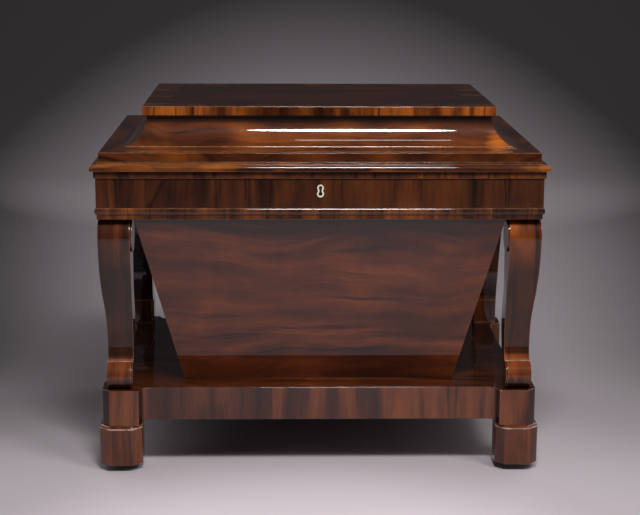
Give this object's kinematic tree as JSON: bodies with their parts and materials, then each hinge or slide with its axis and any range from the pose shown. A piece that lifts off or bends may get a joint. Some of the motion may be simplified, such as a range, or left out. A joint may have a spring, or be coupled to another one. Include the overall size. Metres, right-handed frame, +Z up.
{
  "type": "cellarette",
  "caption": "Sarcophagus-shaped wine cellarette with a hinged lid, a tapering well, scroll legs, a platform base and recessed casters.",
  "frame": {"origin": "on the floor under the middle of the cellarette", "axes": "+X to the right along the width, +Y to the back, +Z up; the front faces -Y"},
  "size_m": [0.813, 0.5988, 0.6604],
  "materials": {
    "rosewood": "rosewood veneer under a high-gloss french polish",
    "inner_wood": "plain mahogany, thinly polished",
    "bone": null,
    "brass": "dull old brass",
    "iron": "blackened iron",
    "zinc": "dull grey sheet metal"
  },
  "bodies": {
    "stand": {"frieze_front": "rosewood", "frieze_right": "rosewood", "frieze_back": "rosewood", "frieze_left": "rosewood", "base_moulding_front": "rosewood", "base_moulding_right": "rosewood", "base_moulding_back": "rosewood", "base_moulding_left": "rosewood", "well_front": "rosewood", "well_right": "rosewood", "well_back": "rosewood", "well_left": "rosewood", "platform": "rosewood", "leg_front_left": "rosewood", "foot_block_front_left": "rosewood", "leg_front_right": "rosewood", "foot_block_front_right": "rosewood", "leg_back_left": "rosewood", "foot_block_back_left": "rosewood", "leg_back_right": "rosewood", "foot_block_back_right": "rosewood", "case_floor_left": "inner_wood", "case_floor_right": "inner_wood", "well_bottom": "inner_wood", "partition_long_1": "inner_wood", "partition_long_2": "inner_wood", "partition_cross_1": "inner_wood", "partition_cross_2": "inner_wood", "partition_cross_3": "inner_wood", "well_lining": "zinc", "escutcheon": "bone", "lock_case": "brass", "hinge_case_leaf_left": "brass", "hinge_case_leaf_right": "brass"},
    "lid": {"lid_top_board": "rosewood", "link_plate": "brass", "hinge_lid_leaf_left": "brass", "hinge_lid_leaf_right": "brass", "lid_cove_front": "rosewood", "lid_cove_right": "rosewood", "lid_cove_back": "rosewood", "lid_cove_left": "rosewood", "lid_moulding_front": "rosewood", "lid_moulding_right": "rosewood", "lid_moulding_back": "rosewood", "lid_moulding_left": "rosewood", "lid_rail_front": "rosewood", "lid_rail_right": "rosewood", "lid_rail_back": "rosewood", "lid_rail_left": "rosewood"},
    "lock_bolt": {"lock_bolt": "brass"},
    "fork_front_left": {"caster_fork_front_left": "iron"},
    "wheel_front_left": {"caster_wheel_front_left": "brass"},
    "fork_front_right": {"caster_fork_front_right": "iron"},
    "wheel_front_right": {"caster_wheel_front_right": "brass"},
    "fork_back_left": {"caster_fork_back_left": "iron"},
    "wheel_back_left": {"caster_wheel_back_left": "brass"},
    "fork_back_right": {"caster_fork_back_right": "iron"},
    "wheel_back_right": {"caster_wheel_back_right": "brass"}
  },
  "joints": [
    {"name": "lid_hinge", "type": "hinge", "parent": "stand", "child": "lid", "pos_m": [0, 0.2964, 0.54185], "axis": [-1, 0, 0], "range_deg": [0, 95]},
    {"name": "lock_bolt_slide", "type": "slide", "parent": "stand", "child": "lock_bolt", "axis": [1, 0, 0], "range_m": [0, 0.007]},
    {"name": "caster_swivel_front_left", "type": "hinge", "parent": "stand", "child": "fork_front_left", "pos_m": [-0.3621, -0.255, 0.02], "axis": [0, 0, 1], "continuous": true},
    {"name": "caster_roll_front_left", "type": "hinge", "parent": "fork_front_left", "child": "wheel_front_left", "pos_m": [-0.3621, -0.247, 0.01289], "axis": [1, 0, 0], "continuous": true},
    {"name": "caster_swivel_front_right", "type": "hinge", "parent": "stand", "child": "fork_front_right", "pos_m": [0.3621, -0.255, 0.02], "axis": [0, 0, 1], "continuous": true},
    {"name": "caster_roll_front_right", "type": "hinge", "parent": "fork_front_right", "child": "wheel_front_right", "pos_m": [0.3621, -0.247, 0.01289], "axis": [1, 0, 0], "continuous": true},
    {"name": "caster_swivel_back_left", "type": "hinge", "parent": "stand", "child": "fork_back_left", "pos_m": [-0.3621, 0.255, 0.02], "axis": [0, 0, 1], "continuous": true},
    {"name": "caster_roll_back_left", "type": "hinge", "parent": "fork_back_left", "child": "wheel_back_left", "pos_m": [-0.3621, 0.263, 0.01289], "axis": [1, 0, 0], "continuous": true},
    {"name": "caster_swivel_back_right", "type": "hinge", "parent": "stand", "child": "fork_back_right", "pos_m": [0.3621, 0.255, 0.02], "axis": [0, 0, 1], "continuous": true},
    {"name": "caster_roll_back_right", "type": "hinge", "parent": "fork_back_right", "child": "wheel_back_right", "pos_m": [0.3621, 0.263, 0.01289], "axis": [1, 0, 0], "continuous": true}
  ]
}
